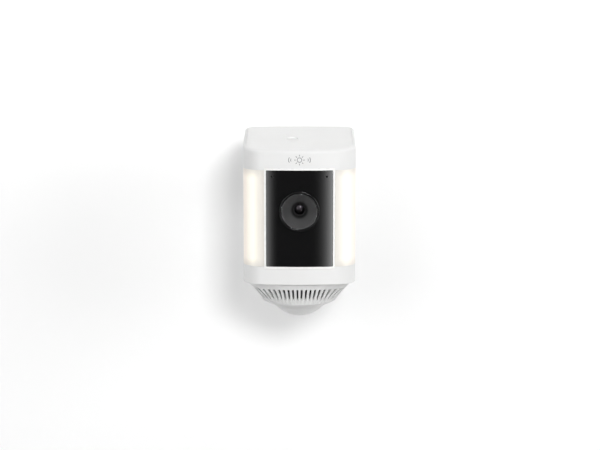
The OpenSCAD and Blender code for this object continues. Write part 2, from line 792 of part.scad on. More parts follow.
wall_plate();
ball_seat();
clamp_ring();
clamp_set_screw();
ball_stem();
front_housing();
rear_housing();
side_seals();
top_lid();
lid_gasket();
bottom_grille();
base_plate();
mount_insert();
housing_screws();
panel_bezel();
face_panel();
lens_ring();
lens_window();
lens_hood();
lens_barrel();
lens_elements();
lens_holder();
infrared_filter();
image_sensor();
sensor_board();
front_board();
infrared_leds();
microphones();
microphone_boots();
left_diffuser();
right_diffuser();
light_reflectors();
led_boards();
led_packages();
heat_spreaders();
main_board();
main_chips();
shield_cans();
flat_cables();
wifi_antenna();
pir_dome();
pir_retainer();
pir_board();
pir_sensors();
speaker_frame();
speaker_cone();
speaker_magnet();
battery_bay();
bay_contacts();
battery_case();
battery_cells();
battery_tab();
battery_door();
door_seal();
door_pin();
door_latch();
setup_button();
button_switch();
power_jack();
port_cover();
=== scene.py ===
import json
import math

import bmesh
import bpy
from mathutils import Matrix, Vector


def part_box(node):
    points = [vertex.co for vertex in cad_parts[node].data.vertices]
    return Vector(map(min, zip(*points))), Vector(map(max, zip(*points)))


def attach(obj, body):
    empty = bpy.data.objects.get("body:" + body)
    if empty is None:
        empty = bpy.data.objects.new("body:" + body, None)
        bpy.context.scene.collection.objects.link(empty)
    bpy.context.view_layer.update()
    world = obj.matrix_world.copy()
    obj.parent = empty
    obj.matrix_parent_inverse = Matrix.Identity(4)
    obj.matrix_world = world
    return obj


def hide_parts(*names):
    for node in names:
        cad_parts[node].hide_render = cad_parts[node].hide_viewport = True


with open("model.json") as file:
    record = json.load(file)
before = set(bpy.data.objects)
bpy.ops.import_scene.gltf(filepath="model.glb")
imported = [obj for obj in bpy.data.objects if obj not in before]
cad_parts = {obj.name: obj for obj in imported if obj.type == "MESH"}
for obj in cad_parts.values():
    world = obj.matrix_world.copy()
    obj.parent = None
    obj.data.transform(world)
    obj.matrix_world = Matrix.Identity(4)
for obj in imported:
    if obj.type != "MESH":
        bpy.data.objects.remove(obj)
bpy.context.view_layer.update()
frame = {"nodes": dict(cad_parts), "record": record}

# A wall-mounted floodlight security camera. The head's pieces are drawn in the head's own millimetres:
# x across, d from the face towards the back, and h up from the dome's lowest point.

MM = 0.001
FACE_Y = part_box("front_housing")[0][1]
HEAD_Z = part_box("pir_dome")[0][2]
HALF_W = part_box("rear_housing")[1][0] / MM

# Body: depth, height and skirt, the bows of face and back, and the rounding of corners and edges
BODY_D = 69.0
MID_D = BODY_D / 2
BODY_TOP = 126.0
TOP_FRONT = 117.9
TOP_FALL = BODY_TOP - TOP_FRONT
CROWN = 0.45
SKIRT = 27.4
FACE_BOW_R = 170.0
BACK_BOW_R = 400.0
FRONT_CORNER_R = 14.0
REAR_CORNER_R = 8.0
EDGE_R = 1.8
LOWER_EDGE_R = 0.7

# Housings: the seam between front and rear, the wall, and the gaps round what they hold
SPLIT_D = 31.0
HALF_SEAM = 0.06
SHELL_T = 1.6
GAP = 0.1
LID_BORDER = 2.0
LID_GAP = 0.12
LID_T = 1.5

# Face: the panel, its narrow frame, the light bars and the microphone holes
PANEL_HALF = 22.2
PANEL_LOW, PANEL_HIGH = 39.9, 104.6
PANEL_T = 1.8
BEZEL_W = 1.3
BEZEL_HALF = PANEL_HALF + BEZEL_W
BEZEL_PROUD = 0.3
BEZEL_DEEP = 4.5
LIGHT_BACK = 22.0
LIGHT_T = 1.8
MIC_X, MIC_H, MIC_R = 18.2, 100.5, 0.6

# Lens: a raised ring, a window, and a hood that narrows down to the pupil
LENS_H = 77.4
LENS_RING_R = 13.3
LENS_PROUD = 2.0
RING_DEEP = 3.0
RIM_ROUND = 0.3
WINDOW_R = 11.8
WINDOW_BACK, WINDOW_FRONT = 0.5, 1.4
PUPIL_R = 3.9
HOOD_DEPTH = 6.2

# Underside: the slotted skirt with its rim and lip, and the motion sensor's dome
GRILLE_INSET = 2.4
GRILLE_T = 1.5
RIM_R, RIM_H = 25.2, 11.8
LIP_R, LIP_H = 17.6, 8.3
SLOTS = 64
SLOT_SHARE = 0.46
SLOT_LOW, SLOT_HIGH = 15.4, 22.9
SLOT_END = 0.45
FLUTE_DEPTH = 0.8
DOME_R = 22.3
DOME_H = 22.3
DOME_EDGE_H = 8.4
DOME_T = 0.9

# Top and back: button, battery door with its pin, lugs and latch, screws, the mount's boss, the power port
BUTTON_X, BUTTON_D, BUTTON_R = -4.5, 31.7, 3.5
BUTTON_GAP = 0.15
DOOR_HALF = 29.3
DOOR_GAP = 0.2
DOOR_LOW, DOOR_HIGH = 31.0, 74.6
PIN_D, PIN_H = 66.2, 34.0
PIN_HOLE_R, PIN_REACH = 1.06, 31.5
LUG_OUT, LUG_HALF, LUG_D = 1.7, 1.5, (63.2, 67.9)
KEEPER_HALF, KEEPER_D = 5.2, (64.9, 68.4)
POCKET_HALF, POCKET_D = 3.7, (66.0, 67.8)
SCREW_X = 30.0
SCREW_HEIGHTS = (81.0, 108.0)
SCREW_POST_R, SCREW_HEAD_R, SCREW_HOLE_R = 3.7, 3.0, 1.7
BOSS_H, BOSS_R, BOSS_T = 90.0, 11.0, 4.0
BOSS_FILLET = 2.0
INSERT_R = 4.6
PORT_X, PORT_H = 14.0, 104.5
PORT_LOW, PORT_HIGH = 97.4, 110.2
PORT_HALF_W = 6.5
PORT_FLOOR = 66.95
PORT_WALL = 1.2
JACK_R = 3.9

# Depths at the back: the posts' inner ends, the screws' seats, within the wall, and clear of it on both sides
POST_D = 64.0
SCREW_SEAT_D = 65.0
WALL_D = 68.2
INSIDE_D, OUTSIDE_D = 60.0, 80.0

# A turned outline ends this close to its axis, and a bore this far beyond what it goes through
AXIS_R = 0.001
THROUGH = 20.0


# ---------- Places ----------

def at(x, d, h):
    """A point of the head, from the head's millimetres to the row frame's metres."""
    return Vector((x * MM, FACE_Y + d * MM, HEAD_Z + h * MM))


def top_at(d):
    """Height of the sloping top, which is crowned a little."""
    share = max(0.0, min(1.0, d / BODY_D))
    return TOP_FRONT + TOP_FALL * share + CROWN * 4 * share * (1 - share)


def face_at(x):
    """Depth of the bowed face."""
    return FACE_BOW_R - math.sqrt(FACE_BOW_R ** 2 - x * x)


# ---------- The body's outline, as columns of (x, d, outward x, outward d) ----------

FRONT_CX = HALF_W - FRONT_CORNER_R
FRONT_LEAN = math.degrees(math.asin(FRONT_CX / (FACE_BOW_R - FRONT_CORNER_R)))
FRONT_CD = FACE_BOW_R - (FACE_BOW_R - FRONT_CORNER_R) * math.cos(math.radians(FRONT_LEAN))
REAR_CX = HALF_W - REAR_CORNER_R
REAR_LEAN = math.degrees(math.asin(REAR_CX / (BACK_BOW_R - REAR_CORNER_R)))
REAR_CD = BODY_D - BACK_BOW_R + (BACK_BOW_R - REAR_CORNER_R) * math.cos(math.radians(REAR_LEAN))


def quarter_turn(steps):
    """Angles in even steps from zero to a right angle."""
    return [math.radians(90 * i / steps) for i in range(steps + 1)]


def arc(cx, cd, r, start, end, steps):
    """Columns along an arc, its angles in degrees."""
    columns = []
    for i in range(steps + 1):
        a = math.radians(start + (end - start) * i / steps)
        columns.append((cx + r * math.cos(a), cd + r * math.sin(a), math.cos(a), math.sin(a)))
    return columns


def joined(*stretches):
    """Stretches of columns end to end, without the doubled ones."""
    columns = list(stretches[0])
    for stretch in stretches[1:]:
        columns += stretch[1:]
    return columns


def mirrored(columns):
    """The same columns on the other side, from back to front."""
    return [(-x, d, -nx, nd) for x, d, nx, nd in reversed(columns)]


def side(low, high, steps):
    """Columns along the flat side, between two depths."""
    return [(HALF_W, low + (high - low) * i / steps, 1.0, 0.0) for i in range(steps + 1)]


def front_bow(x0, x1, steps):
    """Columns along the bowed face."""
    a0, a1 = (math.degrees(math.asin(x / FACE_BOW_R)) for x in (x0, x1))
    return arc(0, FACE_BOW_R, FACE_BOW_R, 270 + a0, 270 + a1, steps)


FRONT_BOW_X = FACE_BOW_R * math.sin(math.radians(FRONT_LEAN))
LIGHT_COLUMNS = joined(
    front_bow(BEZEL_HALF + GAP, FRONT_BOW_X, 2),
    arc(FRONT_CX, FRONT_CD, FRONT_CORNER_R, 270 + FRONT_LEAN, 360, 30),
    side(FRONT_CD, LIGHT_BACK, 3))
FRONT_HALF = joined(
    front_bow(0, BEZEL_HALF + GAP, 16),
    LIGHT_COLUMNS,
    side(LIGHT_BACK, LIGHT_BACK + GAP, 1),
    side(LIGHT_BACK + GAP, SPLIT_D - HALF_SEAM, 3))
DOOR_LEAN = math.degrees(math.asin((DOOR_HALF + DOOR_GAP) / BACK_BOW_R))
REAR_HALF = joined(
    side(SPLIT_D + HALF_SEAM, REAR_CD, 8),
    arc(REAR_CX, REAR_CD, REAR_CORNER_R, 0, 90 - REAR_LEAN, 18),
    arc(0, BODY_D - BACK_BOW_R, BACK_BOW_R, 90 - REAR_LEAN, 90 - DOOR_LEAN, 1),
    arc(0, BODY_D - BACK_BOW_R, BACK_BOW_R, 90 - DOOR_LEAN, 90, 14))
FRONT_COLUMNS = joined(mirrored(FRONT_HALF), FRONT_HALF)
REAR_COLUMNS = joined(REAR_HALF, mirrored(REAR_HALF))
ROUND_COLUMNS = joined(FRONT_COLUMNS, REAR_COLUMNS)


# ---------- Mesh helpers ----------

def grid_mesh(name, rings, wrap=True, close=False, skip=None):
    """A mesh over rows of points. wrap joins each row's ends, close joins the last row to the first."""
    wide = len(rings[0])
    vertices = [p for row in rings for p in row]
    faces = []
    for r in range(len(rings) if close else len(rings) - 1):
        for c in range(wide if wrap else wide - 1):
            if skip and skip(c, r):
                continue
            s, n = (r + 1) % len(rings), (c + 1) % wide
            faces.append((r * wide + c, r * wide + n, s * wide + n, s * wide + c))
    mesh = bpy.data.meshes.new(name)
    mesh.from_pydata([tuple(v) for v in vertices], [], faces)
    mesh.update()
    return mesh


def mended(mesh, merge=0.0, fill=False):
    """Merges points closer together than merge, fills open ends if asked, and turns every face outwards."""
    bm = bmesh.new()
    bm.from_mesh(mesh)
    if merge:
        bmesh.ops.remove_doubles(bm, verts=bm.verts, dist=merge)
        bmesh.ops.delete(bm, geom=[v for v in bm.verts if not v.link_faces], context="VERTS")
    if fill:
        bmesh.ops.holes_fill(bm, edges=bm.edges)
    bmesh.ops.recalc_face_normals(bm, faces=bm.faces)
    bm.to_mesh(mesh)
    bm.free()
    return mesh


def tidied(mesh):
    """A mesh without doubled or loose points."""
    return mended(mesh, merge=1e-7)


def capped(mesh):
    """A mesh with its open ends closed."""
    return mended(mesh, fill=True)


def smooth(mesh):
    """Shades every face smoothly."""
    mesh.polygons.foreach_set("use_smooth", [True] * len(mesh.polygons))
    return mesh


def placed(name, mesh):
    """A mesh as an object in the scene."""
    piece = bpy.data.objects.new(name, smooth(mesh))
    bpy.context.scene.collection.objects.link(piece)
    return piece


def applied(piece):
    """Applies the piece's modifiers to its mesh."""
    graph = bpy.context.evaluated_depsgraph_get()
    mesh = bpy.data.meshes.new_from_object(piece.evaluated_get(graph), depsgraph=graph)
    piece.modifiers.clear()
    piece.data = smooth(mesh)
    return piece


def thickened(piece, thickness):
    """Gives a sheet a thickness, inwards from its outer face."""
    thick = piece.modifiers.new("thickness", "SOLIDIFY")
    thick.thickness = thickness * MM
    thick.offset = -1
    thick.use_even_offset = True
    return piece


def softened(piece, width, segments=2, angle=38, weld=False):
    """Rounds the piece's sharp edges and shades its broad faces evenly."""
    if weld:
        piece.modifiers.new("weld", "WELD").merge_threshold = 1e-6
    bevel = piece.modifiers.new("edges", "BEVEL")
    bevel.width = width * MM
    bevel.segments = segments
    bevel.limit_method = "ANGLE"
    bevel.angle_limit = math.radians(angle)
    bevel.use_clamp_overlap = True
    bevel.harden_normals = False
    shade = piece.modifiers.new("shading", "WEIGHTED_NORMAL")
    shade.mode = "FACE_AREA"
    shade.weight = 80
    shade.keep_sharp = True
    return piece


def held_inside(piece, low, high):
    """Draws back any corner of the piece that lies outside a block."""
    for vertex in piece.data.vertices:
        vertex.co = [max(a, min(b, c)) for a, b, c in zip(low, high, vertex.co)]


def cut(piece, mesh, operation="DIFFERENCE"):
    """Cuts a closed mesh out of the piece, or adds it."""
    tool = placed("tool", mesh)
    edit = piece.modifiers.new("cut", "BOOLEAN")
    edit.object = tool
    edit.operation = operation
    edit.solver = "EXACT"
    applied(piece)
    bpy.data.objects.remove(tool)
    return piece


def merged(name, meshes):
    """Several meshes as one."""
    bm = bmesh.new()
    for mesh in meshes:
        bm.from_mesh(mesh)
    whole = bpy.data.meshes.new(name)
    bm.to_mesh(whole)
    bm.free()
    return whole


def block(low, high):
    """A closed box between two corners, in the head's millimetres."""
    (x0, d0, h0), (x1, d1, h1) = low, high
    rings = [[at(x0, d0, h), at(x1, d0, h), at(x1, d1, h), at(x0, d1, h)] for h in (h0, h1)]
    return capped(grid_mesh("block", rings))


def lathe(name, profile, place, steps=96, close=True):
    """Turns (radius, along) points round an axis. place(x, y, along) gives a point of the row frame."""
    rings = []
    for radius, along in profile:
        turn = (2 * math.pi * i / steps for i in range(steps))
        rings.append([place(radius * math.cos(a), radius * math.sin(a), along) for a in turn])
    return mended(grid_mesh(name, rings, close=close), merge=1e-8, fill=not close)


def out_of_face(x, y, along):
    """Round the lens axis, along running out of the face."""
    return at(x, -along, LENS_H + y)


def out_of_back(cx, ch):
    """Round an axis through the back, along being the depth from the face."""
    return lambda x, y, along: at(cx + x, along, ch + y)


def along_pin(x, y, along):
    """Round the door's hinge pin, along running from side to side."""
    return at(along, PIN_D + x, PIN_H + y)


def under_body(x, y, along):
    """Round the dome's upright axis, along being the height."""
    return at(x, MID_D + y, along)


def rod(place, radius, low, high, steps=48):
    """A closed cylinder."""
    return lathe("rod", [(radius, low), (radius, high)], place, steps, close=False)


# ---------- Materials ----------

PLASTIC_IOR = 1.5
GLASS_IOR = 1.45


def new_material(name):
    """A node material, with its node tree and its shader."""
    material = bpy.data.materials.new(name)
    material.use_nodes = True
    tree = material.node_tree
    return material, tree, tree.nodes["Principled BSDF"]


def node(tree, kind, **values):
    """A new node. Each value goes to the socket of that name, or else to the node's own setting."""
    made = tree.nodes.new(kind)
    for key, value in values.items():
        if key in made.inputs:
            made.inputs[key].default_value = value
        else:
            setattr(made, key, value)
    return made


def speckle(tree, scale, detail=4.0):
    """Noise laid out in the object's own metres."""
    place = node(tree, "ShaderNodeTexCoord")
    noise = node(tree, "ShaderNodeTexNoise", Scale=scale, Detail=detail)
    tree.links.new(place.outputs["Object"], noise.inputs["Vector"])
    return noise


def spread(tree, source, low, high):
    """A 0 to 1 value spread over a range."""
    stretch = node(tree, "ShaderNodeMapRange", **{"To Min": low, "To Max": high})
    tree.links.new(source, stretch.inputs["Value"])
    return stretch.outputs["Result"]


def tinted(tree, source, dark, light):
    """A 0 to 1 value turned into a colour between two."""
    ramp = node(tree, "ShaderNodeValToRGB")
    ramp.color_ramp.elements[0].color = (*dark, 1)
    ramp.color_ramp.elements[0].position = 0.3
    ramp.color_ramp.elements[1].color = (*light, 1)
    ramp.color_ramp.elements[1].position = 0.7
    tree.links.new(source, ramp.inputs["Fac"])
    return ramp.outputs["Color"]


def bumped(tree, shader, height, strength, depth):
    """Raises the shader's surface where the height is greater."""
    bump = node(tree, "ShaderNodeBump", Strength=strength, Distance=depth)
    tree.links.new(height, bump.inputs["Height"])
    tree.links.new(bump.outputs["Normal"], shader.inputs["Normal"])


def grained(tree, shader, scale, strength, depth=0.00002):
    """A fine moulded grain in the shader's surface."""
    bumped(tree, shader, speckle(tree, scale, 6).outputs["Fac"], strength, depth)


def mixed(tree, share, first, second, output="Material Output"):
    """Sends a mix of two shaders to the output node."""
    mix = node(tree, "ShaderNodeMixShader")
    for socket, source in zip(mix.inputs, (share, first.outputs[0], second.outputs[0])):
        tree.links.new(source, socket)
    tree.links.new(mix.outputs[0], tree.nodes[output].inputs["Surface"])


def moulded(name, colour, rough, grain=2600, strength=0.12, vary=0.03, sheen=0.0):
    """Moulded plastic, rubber or a board: a slightly uneven colour and gloss over a fine grain."""
    material, tree, shader = new_material(name)
    dark = [c * (1 - vary) for c in colour]
    light = [min(1, c * (1 + vary)) for c in colour]
    tree.links.new(tinted(tree, speckle(tree, 60).outputs["Fac"], dark, light), shader.inputs["Base Color"])
    blotch = speckle(tree, 420, 3).outputs["Fac"]
    tree.links.new(spread(tree, blotch, rough - 0.05, rough + 0.05), shader.inputs["Roughness"])
    shader.inputs["IOR"].default_value = PLASTIC_IOR
    shader.inputs["Sheen Weight"].default_value = sheen
    grained(tree, shader, grain, strength)
    return material


def brushed(name, colour, rough, stretch=(1, 1, 30)):
    """Machined or brushed metal, with fine lines across one direction."""
    material, tree, shader = new_material(name)
    place = node(tree, "ShaderNodeTexCoord")
    turn = node(tree, "ShaderNodeMapping", Scale=stretch)
    noise = node(tree, "ShaderNodeTexNoise", Scale=900.0, Detail=3.0)
    tree.links.new(place.outputs["Object"], turn.inputs["Vector"])
    tree.links.new(turn.outputs["Vector"], noise.inputs["Vector"])
    dark = [c * 0.88 for c in colour]
    tree.links.new(tinted(tree, noise.outputs["Fac"], dark, colour), shader.inputs["Base Color"])
    tree.links.new(spread(tree, noise.outputs["Fac"], rough - 0.08, rough + 0.08), shader.inputs["Roughness"])
    bumped(tree, shader, noise.outputs["Fac"], 0.15, 0.00001)
    shader.inputs["Metallic"].default_value = 1.0
    return material


def polished_black():
    """Deep glossy acrylic, with faint smears in its gloss."""
    material, tree, shader = new_material("polished_black")
    shader.inputs["Base Color"].default_value = (0.0065, 0.0065, 0.0068, 1)
    smear = speckle(tree, 90, 5).outputs["Fac"]
    tree.links.new(spread(tree, smear, 0.05, 0.09), shader.inputs["Roughness"])
    shader.inputs["IOR"].default_value = PLASTIC_IOR
    grained(tree, shader, 1500, 0.02, 0.000004)
    return material


def clear_glass(name, tint, shine, rough=0.03):
    """Thin coated glass that shows what is behind it."""
    material, tree, shader = new_material(name)
    tree.nodes.remove(shader)
    through = node(tree, "ShaderNodeBsdfTransparent", Color=(*tint, 1))
    gloss = node(tree, "ShaderNodeBsdfGlossy", Color=(*shine, 1), Roughness=rough)
    fresnel = node(tree, "ShaderNodeFresnel", IOR=GLASS_IOR)
    grained(tree, gloss, 500, 0.02, 0.000002)
    mixed(tree, fresnel.outputs["Fac"], through, gloss)
    return material


# Painted glow of the bar round its corner, with a painted highlight band: degrees from straight ahead, and
# colour
PAINTED_GLOW = ((0, (0.07, 0.055, 0.035)),
        (12, (0.12, 0.105, 0.075)),
        (31, (0.62, 0.61, 0.53)),
        (50, (0.39, 0.36, 0.30)),
        (66, (0.30, 0.25, 0.20)),
        (90, (0.27, 0.23, 0.18)))
PAINTED_GLOW_FADE = 6.0


def opal_painted_glow():
    """Opal plastic with a painted glow, though it is no lamp: a painted highlight brightest along the bar's
    middle, falling off to its edges and ends.
    """
    material, tree, shader = new_material("opal_painted_glow")
    shader.inputs["Base Color"].default_value = (0.62, 0.60, 0.57, 1)
    shader.inputs["Roughness"].default_value = 0.32
    place = node(tree, "ShaderNodeTexCoord")
    split = node(tree, "ShaderNodeSeparateXYZ")
    tree.links.new(place.outputs["Object"], split.inputs["Vector"])

    def math_node(operation, a, b=None):
        """An operation on one or two values, each a number or another node's output."""
        made = node(tree, "ShaderNodeMath", operation=operation)
        for socket, value in zip(made.inputs, (a, b)):
            if value is None:
                continue
            if isinstance(value, (int, float)):
                socket.default_value = value
            else:
                tree.links.new(value, socket)
        return made.outputs[0]

    across = math_node("SUBTRACT", math_node("ABSOLUTE", split.outputs["X"]), FRONT_CX * MM)
    ahead = math_node("SUBTRACT", FACE_Y + FRONT_CD * MM, split.outputs["Y"])
    turn = math_node("ARCTAN2", across, ahead)
    ramp = node(tree, "ShaderNodeValToRGB")
    ramp.color_ramp.interpolation = "B_SPLINE"
    for _ in PAINTED_GLOW[2:]:
        ramp.color_ramp.elements.new(0.5)
    for stop, (degrees, colour) in zip(ramp.color_ramp.elements, PAINTED_GLOW):
        stop.position = degrees / 90
        stop.color = (*colour, 1)
    tree.links.new(math_node("DIVIDE", turn, math.radians(90)), ramp.inputs["Fac"])
    middle = HEAD_Z + (PANEL_LOW + PANEL_HIGH) / 2 * MM
    half = (PANEL_HIGH - PANEL_LOW) / 2 * MM
    full = half - PAINTED_GLOW_FADE * MM
    up = math_node("ABSOLUTE", math_node("SUBTRACT", split.outputs["Z"], middle))
    ends = node(tree, "ShaderNodeMapRange", **{"From Min": half, "From Max": full, "To Min": 0.5})
    ends.interpolation_type = "SMOOTHSTEP"
    tree.links.new(up, ends.inputs["Value"])
    # Painted light: the emission paints the bar's highlight band and glow
    tree.links.new(ramp.outputs["Color"], shader.inputs["Emission Color"])
    tree.links.new(ends.outputs["Result"], shader.inputs["Emission Strength"])
    grained(tree, shader, 1800, 0.04)
    return material


def hood_with_painted_shade():
    """Matt grey with painted shade: darker towards the pupil, where the hood is deepest."""
    material, tree, shader = new_material("hood_grey_painted_shade")
    place = node(tree, "ShaderNodeTexCoord")
    away = node(tree, "ShaderNodeVectorMath", operation="DISTANCE")
    away.inputs[1].default_value = (0, FACE_Y + HOOD_DEPTH * MM, HEAD_Z + LENS_H * MM)
    tree.links.new(place.outputs["Object"], away.inputs[0])
    # Painted shade: the colour darkens towards the pupil
    fade = node(tree, "ShaderNodeMapRange", **{"From Min": PUPIL_R * MM, "From Max": 2 * PUPIL_R * MM})
    tree.links.new(away.outputs["Value"], fade.inputs["Value"])
    colour = tinted(tree, fade.outputs["Result"], (0.012, 0.012, 0.012), (0.10, 0.10, 0.101))
    tree.links.new(colour, shader.inputs["Base Color"])
    tree.links.new(spread(tree, speckle(tree, 420, 3).outputs["Fac"], 0.32, 0.40), shader.inputs["Roughness"])
    grained(tree, shader, 2600, 0.1)
    return material


def fresnel_dome():
    """Milky moulded dome with the faint rings of its lens facets."""
    material, tree, shader = new_material("milky_dome")
    shader.inputs["Base Color"].default_value = (0.70, 0.70, 0.695, 1)
    shader.inputs["Subsurface Weight"].default_value = 0.25
    shader.inputs["Subsurface Radius"].default_value = (0.003, 0.003, 0.003)
    shader.inputs["Subsurface Scale"].default_value = 1.0
    tree.links.new(spread(tree, speckle(tree, 300).outputs["Fac"], 0.26, 0.36), shader.inputs["Roughness"])
    place = node(tree, "ShaderNodeTexCoord")
    shift = node(tree, "ShaderNodeMapping", Location=(0, -(FACE_Y + MID_D * MM), 0))
    rings = node(tree, "ShaderNodeTexWave", Scale=260.0, Distortion=0.0, wave_type="RINGS",
                 rings_direction="Z", wave_profile="SAW")
    tree.links.new(place.outputs["Object"], shift.inputs["Vector"])
    tree.links.new(shift.outputs["Vector"], rings.inputs["Vector"])
    bumped(tree, shader, rings.outputs["Fac"], 0.10, 0.00003)
    return material


MATERIALS = {
    "white_plastic": moulded("white_plastic", (0.72, 0.72, 0.715), 0.40, strength=0.10, vary=0.008),
    "soft_white": moulded("soft_white", (0.76, 0.76, 0.75), 0.60, strength=0.15, vary=0.01, sheen=0.1),
    "gloss_black": polished_black(),
    "satin_black": moulded("satin_black", (0.012, 0.012, 0.013), 0.38, strength=0.15),
    "dark_grey": moulded("dark_grey", (0.055, 0.055, 0.057), 0.50, strength=0.2),
    "pack_grey": moulded("pack_grey", (0.12, 0.124, 0.13), 0.45, strength=0.25),
    "opal": opal_painted_glow(),
    "pir_white": fresnel_dome(),
    "clear_glass": clear_glass("clear_glass", (0.97, 0.97, 0.97), (0.5, 0.5, 0.52)),
    "black_rubber": moulded("black_rubber", (0.02, 0.02, 0.021), 0.70, strength=0.25),
    "green_board": moulded("green_board", (0.02, 0.11, 0.05), 0.32, grain=900, strength=0.1, vary=0.15),
    "white_board": moulded("white_board", (0.82, 0.82, 0.80), 0.30, grain=1200, strength=0.1),
    "black_chip": moulded("black_chip", (0.018, 0.018, 0.02), 0.55, grain=4000, strength=0.2),
    "steel": brushed("steel", (0.58, 0.59, 0.61), 0.30),
    "aluminium": brushed("aluminium", (0.76, 0.77, 0.78), 0.35, (30, 1, 1)),
    "brass": brushed("brass", (0.72, 0.53, 0.25), 0.28),
    "gold": brushed("gold", (0.88, 0.66, 0.26), 0.22),
    "copper": brushed("copper", (0.70, 0.38, 0.20), 0.30, (1, 30, 1)),
    "led_yellow": moulded("led_yellow", (0.85, 0.62, 0.10), 0.35, strength=0.05),
    "cell_foil": brushed("cell_foil", (0.60, 0.61, 0.63), 0.38, (10, 1, 1)),
}
# The frame's white is paler than the housing's: a painted brightening for the light the frame catches beside
# the bars
BEZEL_WHITE_PAINTED_BRIGHT = moulded("bezel_white", (0.84, 0.84, 0.825), 0.28, strength=0.03, vary=0.005)
COATED_GLASS = clear_glass("coated_glass", (0.7, 0.68, 0.71), (1.0, 0.9, 1.0), rough=0.14)
HOOD_PAINTED_SHADE = hood_with_painted_shade()
PRINT_GREY = moulded("print_grey", (0.20, 0.20, 0.205), 0.55, strength=0.05, vary=0.02)


# ---------- Bringing pieces in ----------

def finished(piece, material, *nodes, body="head", slot=None):
    """Gives a piece its material and the body it rides on, and hides the CAD nodes it stands for."""
    piece.data.materials.clear()
    piece.data.materials.append(MATERIALS.get(material, material))
    if nodes:
        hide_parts(*nodes)
    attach(piece, body)
    return piece


for part in frame["record"]["subparts"]:
    cad = frame["nodes"][part["node"]]
    if not cad.material_slots:
        cad.data.materials.append(None)
    for material_slot in cad.material_slots:
        material_slot.material = MATERIALS[part["material_slot"]]

for material_slot in frame["nodes"]["lens_elements"].material_slots:
    material_slot.material = COATED_GLASS


# ---------- Housings ----------

def wall_rows(middle):
    """Rows of (inset, height, measured down from the top) up a housing's wall, with rounded edges."""
    rows = [(GRILLE_INSET - GAP, SKIRT, False)]
    for t in quarter_turn(6):
        rows.append((LOWER_EDGE_R * (1 - math.sin(t)), SKIRT + LOWER_EDGE_R * (1 - math.cos(t)), False))
    rows += [(0.0, h, False) for h in middle]
    rows.append((0.0, EDGE_R + 0.5, True))
    for t in quarter_turn(6):
        rows.append((EDGE_R - EDGE_R * math.cos(t), EDGE_R - EDGE_R * math.sin(t), True))
    rows.append((LID_BORDER, 0.0, True))
    return rows


def wall_point(column, row):
    """The point where a column of the outline crosses a row of the wall."""
    x, d, nx, nd = column
    inset, height, from_top = row
    x, d = x - inset * nx, d - inset * nd
    return at(x, d, top_at(d) - height if from_top else height)


def wall_skin(name, columns, rows, is_open):
    """The outer sheet of a housing, open where is_open(middle x, middle d, middle h) says."""
    def skip(c, r):
        (x0, d0, *_), (x1, d1, *_) = columns[c], columns[c + 1]
        if rows[r][2] or rows[r + 1][2]:
            return False
        return is_open((x0 + x1) / 2, (d0 + d1) / 2, (rows[r][1] + rows[r + 1][1]) / 2)

    rings = [[wall_point(column, row) for column in columns] for row in rows]
    return placed(name, tidied(grid_mesh(name, rings, wrap=False, skip=skip)))


def facing_out(piece, inside):
    """Turns an open sheet so that it faces away from a point inside it."""
    mesh = piece.data
    face = max(mesh.polygons, key=lambda f: f.area)
    if (face.center - inside).dot(face.normal) < 0:
        mesh.flip_normals()
    return piece


HEAD_MIDDLE = at(0, MID_D, BODY_TOP / 2)


def front_open(x, d, h):
    """The front housing's openings: one for the framed panel, and one for each light bar beside it."""
    if abs(x) < BEZEL_HALF + GAP and d < LIGHT_BACK:
        return PANEL_LOW - BEZEL_W - GAP < h < PANEL_HIGH + BEZEL_W + GAP
    return d < LIGHT_BACK + GAP and PANEL_LOW - GAP < h < PANEL_HIGH + GAP


# The plain heights among a wall's rows only keep its faces short
front_rows = wall_rows([30.0, PANEL_LOW - BEZEL_W - GAP, PANEL_LOW - GAP, 56, 72, 88,
                        PANEL_HIGH + GAP, PANEL_HIGH + BEZEL_W + GAP])
front_shell = facing_out(wall_skin("front_shell", FRONT_COLUMNS, front_rows, front_open), HEAD_MIDDLE)
softened(thickened(front_shell, SHELL_T), 0.22)
held_inside(applied(front_shell), at(-HALF_W, 0, SKIRT), at(HALF_W, SPLIT_D, BODY_TOP))
finished(front_shell, "white_plastic", "front_housing")


def rear_open(x, d, h):
    """The battery door's opening in the back."""
    return abs(x) < DOOR_HALF + DOOR_GAP and d > REAR_CD and DOOR_LOW < h < DOOR_HIGH


def boss_profile():
    """The mount's boss from inside the back wall, with a fillet round its foot and a rounded end."""
    foot_r, foot_d = BOSS_R + BOSS_FILLET, BODY_D - 0.1
    end = BODY_D + BOSS_T
    profile = [(AXIS_R, POST_D), (foot_r + 0.2, POST_D), (foot_r + 0.2, WALL_D), (foot_r, foot_d)]
    for t in quarter_turn(5)[1:]:
        profile.append((foot_r - BOSS_FILLET * math.sin(t), foot_d + BOSS_FILLET * (1 - math.cos(t))))
    profile += [(BOSS_R, end - 0.8), (BOSS_R - 0.25, end - 0.25), (BOSS_R - 0.8, end), (AXIS_R, end)]
    return profile


def rear_solids():
    """What stands on the rear housing: the boss, hinge lugs, screw posts, port box and latch keeper."""
    solids = [lathe("boss", boss_profile(), out_of_back(0, BOSS_H), close=False)]
    for sign in (-1, 1):
        lug_x = sign * (DOOR_HALF + LUG_OUT)
        solids.append(block((lug_x - LUG_HALF, LUG_D[0], DOOR_LOW - 0.8),
                            (lug_x + LUG_HALF, LUG_D[1], PIN_H + 3)))
        for height in SCREW_HEIGHTS:
            solids.append(rod(out_of_back(sign * SCREW_X, height), SCREW_POST_R, POST_D, WALL_D))
    port_half = PORT_HALF_W + PORT_WALL
    solids.append(block((PORT_X - port_half, PORT_FLOOR - PORT_WALL, PORT_LOW - PORT_WALL),
                        (PORT_X + port_half, WALL_D, PORT_HIGH + PORT_WALL)))
    solids.append(block((-KEEPER_HALF, KEEPER_D[0], DOOR_HIGH), (KEEPER_HALF, KEEPER_D[1], DOOR_HIGH + 4.4)))
    return solids


